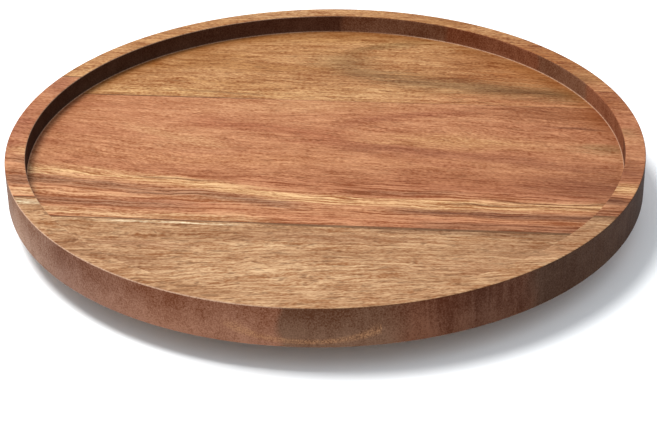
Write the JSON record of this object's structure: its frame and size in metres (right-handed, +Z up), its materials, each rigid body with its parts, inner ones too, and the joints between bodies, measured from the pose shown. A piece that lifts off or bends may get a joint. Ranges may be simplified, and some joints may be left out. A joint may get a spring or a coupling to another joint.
{
  "type": "lazy susan turntable",
  "caption": "Round wooden tray with a low raised rim, turning on a flat ring ball bearing that stands on rubber feet.",
  "frame": {"origin": "on the axis of rotation, on the surface that the feet stand on", "axes": "+Z up along the axis of rotation, +X along the grain of the boards, -Y the front"},
  "size_m": [0.406, 0.406, 0.042],
  "materials": {
    "acacia_gold": "oiled satin, golden brown heartwood",
    "acacia_red": "oiled satin, reddish heartwood with a pale sapwood streak and dark lines",
    "acacia_tan": "oiled satin, pale tan with a fine ripple",
    "aluminium": "turned, satin",
    "ball_steel": "polished",
    "zinc_steel": "zinc plated",
    "nylon": "moulded, natural white",
    "rubber": "matt black"
  },
  "bodies": {
    "base": {"bearing_outer_ring": "aluminium", "fill_plug": "zinc_steel", "foot_1": "rubber", "foot_2": "rubber", "foot_3": "rubber", "foot_4": "rubber", "foot_5": "rubber", "foot_6": "rubber"},
    "tray": {"board_rear": "acacia_gold", "board_centre": "acacia_red", "board_front": "acacia_tan", "bearing_inner_ring": "aluminium", "screw_1": "zinc_steel", "screw_2": "zinc_steel", "screw_3": "zinc_steel", "screw_4": "zinc_steel", "screw_5": "zinc_steel", "screw_6": "zinc_steel"},
    "cage": {"ball_cage": "nylon"},
    "ball_01": {"ball_01": "ball_steel"},
    "ball_02": {"ball_02": "ball_steel"},
    "ball_03": {"ball_03": "ball_steel"},
    "ball_04": {"ball_04": "ball_steel"},
    "ball_05": {"ball_05": "ball_steel"},
    "ball_06": {"ball_06": "ball_steel"},
    "ball_07": {"ball_07": "ball_steel"},
    "ball_08": {"ball_08": "ball_steel"},
    "ball_09": {"ball_09": "ball_steel"},
    "ball_10": {"ball_10": "ball_steel"},
    "ball_11": {"ball_11": "ball_steel"},
    "ball_12": {"ball_12": "ball_steel"},
    "ball_13": {"ball_13": "ball_steel"},
    "ball_14": {"ball_14": "ball_steel"},
    "ball_15": {"ball_15": "ball_steel"},
    "ball_16": {"ball_16": "ball_steel"},
    "ball_17": {"ball_17": "ball_steel"},
    "ball_18": {"ball_18": "ball_steel"},
    "ball_19": {"ball_19": "ball_steel"},
    "ball_20": {"ball_20": "ball_steel"}
  },
  "joints": [
    {"name": "tray_spin", "type": "hinge", "parent": "base", "child": "tray", "pos_m": [0, 0, 0.0105], "axis": [0, 0, 1], "continuous": true},
    {"name": "cage_spin", "type": "hinge", "parent": "base", "child": "cage", "pos_m": [0, 0, 0.0105], "axis": [0, 0, 1], "continuous": true},
    {"name": "ball_01_spin", "type": "hinge", "parent": "cage", "child": "ball_01", "pos_m": [0.08297, 0.01314, 0.0105], "axis": [0, 0, 1], "continuous": true},
    {"name": "ball_02_spin", "type": "hinge", "parent": "cage", "child": "ball_02", "pos_m": [0.07484, 0.03814, 0.0105], "axis": [0, 0, 1], "continuous": true},
    {"name": "ball_03_spin", "type": "hinge", "parent": "cage", "child": "ball_03", "pos_m": [0.0594, 0.0594, 0.0105], "axis": [0, 0, 1], "continuous": true},
    {"name": "ball_04_spin", "type": "hinge", "parent": "cage", "child": "ball_04", "pos_m": [0.03814, 0.07484, 0.0105], "axis": [0, 0, 1], "continuous": true},
    {"name": "ball_05_spin", "type": "hinge", "parent": "cage", "child": "ball_05", "pos_m": [0.01314, 0.08297, 0.0105], "axis": [0, 0, 1], "continuous": true},
    {"name": "ball_06_spin", "type": "hinge", "parent": "cage", "child": "ball_06", "pos_m": [-0.01314, 0.08297, 0.0105], "axis": [0, 0, 1], "continuous": true},
    {"name": "ball_07_spin", "type": "hinge", "parent": "cage", "child": "ball_07", "pos_m": [-0.03814, 0.07484, 0.0105], "axis": [0, 0, 1], "continuous": true},
    {"name": "ball_08_spin", "type": "hinge", "parent": "cage", "child": "ball_08", "pos_m": [-0.0594, 0.0594, 0.0105], "axis": [0, 0, 1], "continuous": true},
    {"name": "ball_09_spin", "type": "hinge", "parent": "cage", "child": "ball_09", "pos_m": [-0.07484, 0.03814, 0.0105], "axis": [0, 0, 1], "continuous": true},
    {"name": "ball_10_spin", "type": "hinge", "parent": "cage", "child": "ball_10", "pos_m": [-0.08297, 0.01314, 0.0105], "axis": [0, 0, 1], "continuous": true},
    {"name": "ball_11_spin", "type": "hinge", "parent": "cage", "child": "ball_11", "pos_m": [-0.08297, -0.01314, 0.0105], "axis": [0, 0, 1], "continuous": true},
    {"name": "ball_12_spin", "type": "hinge", "parent": "cage", "child": "ball_12", "pos_m": [-0.07484, -0.03814, 0.0105], "axis": [0, 0, 1], "continuous": true},
    {"name": "ball_13_spin", "type": "hinge", "parent": "cage", "child": "ball_13", "pos_m": [-0.0594, -0.0594, 0.0105], "axis": [0, 0, 1], "continuous": true},
    {"name": "ball_14_spin", "type": "hinge", "parent": "cage", "child": "ball_14", "pos_m": [-0.03814, -0.07484, 0.0105], "axis": [0, 0, 1], "continuous": true},
    {"name": "ball_15_spin", "type": "hinge", "parent": "cage", "child": "ball_15", "pos_m": [-0.01314, -0.08297, 0.0105], "axis": [0, 0, 1], "continuous": true},
    {"name": "ball_16_spin", "type": "hinge", "parent": "cage", "child": "ball_16", "pos_m": [0.01314, -0.08297, 0.0105], "axis": [0, 0, 1], "continuous": true},
    {"name": "ball_17_spin", "type": "hinge", "parent": "cage", "child": "ball_17", "pos_m": [0.03814, -0.07484, 0.0105], "axis": [0, 0, 1], "continuous": true},
    {"name": "ball_18_spin", "type": "hinge", "parent": "cage", "child": "ball_18", "pos_m": [0.0594, -0.0594, 0.0105], "axis": [0, 0, 1], "continuous": true},
    {"name": "ball_19_spin", "type": "hinge", "parent": "cage", "child": "ball_19", "pos_m": [0.07484, -0.03814, 0.0105], "axis": [0, 0, 1], "continuous": true},
    {"name": "ball_20_spin", "type": "hinge", "parent": "cage", "child": "ball_20", "pos_m": [0.08297, -0.01314, 0.0105], "axis": [0, 0, 1], "continuous": true}
  ],
  "couplings": [
    {"joint": "cage_spin", "follows": "tray_spin", "ratio": 0.48512},
    {"joint": "ball_01_spin", "follows": "tray_spin", "ratio": -16.785},
    {"joint": "ball_02_spin", "follows": "tray_spin", "ratio": -16.785},
    {"joint": "ball_03_spin", "follows": "tray_spin", "ratio": -16.785},
    {"joint": "ball_04_spin", "follows": "tray_spin", "ratio": -16.785},
    {"joint": "ball_05_spin", "follows": "tray_spin", "ratio": -16.785},
    {"joint": "ball_06_spin", "follows": "tray_spin", "ratio": -16.785},
    {"joint": "ball_07_spin", "follows": "tray_spin", "ratio": -16.785},
    {"joint": "ball_08_spin", "follows": "tray_spin", "ratio": -16.785},
    {"joint": "ball_09_spin", "follows": "tray_spin", "ratio": -16.785},
    {"joint": "ball_10_spin", "follows": "tray_spin", "ratio": -16.785},
    {"joint": "ball_11_spin", "follows": "tray_spin", "ratio": -16.785},
    {"joint": "ball_12_spin", "follows": "tray_spin", "ratio": -16.785},
    {"joint": "ball_13_spin", "follows": "tray_spin", "ratio": -16.785},
    {"joint": "ball_14_spin", "follows": "tray_spin", "ratio": -16.785},
    {"joint": "ball_15_spin", "follows": "tray_spin", "ratio": -16.785},
    {"joint": "ball_16_spin", "follows": "tray_spin", "ratio": -16.785},
    {"joint": "ball_17_spin", "follows": "tray_spin", "ratio": -16.785},
    {"joint": "ball_18_spin", "follows": "tray_spin", "ratio": -16.785},
    {"joint": "ball_19_spin", "follows": "tray_spin", "ratio": -16.785},
    {"joint": "ball_20_spin", "follows": "tray_spin", "ratio": -16.785}
  ]
}
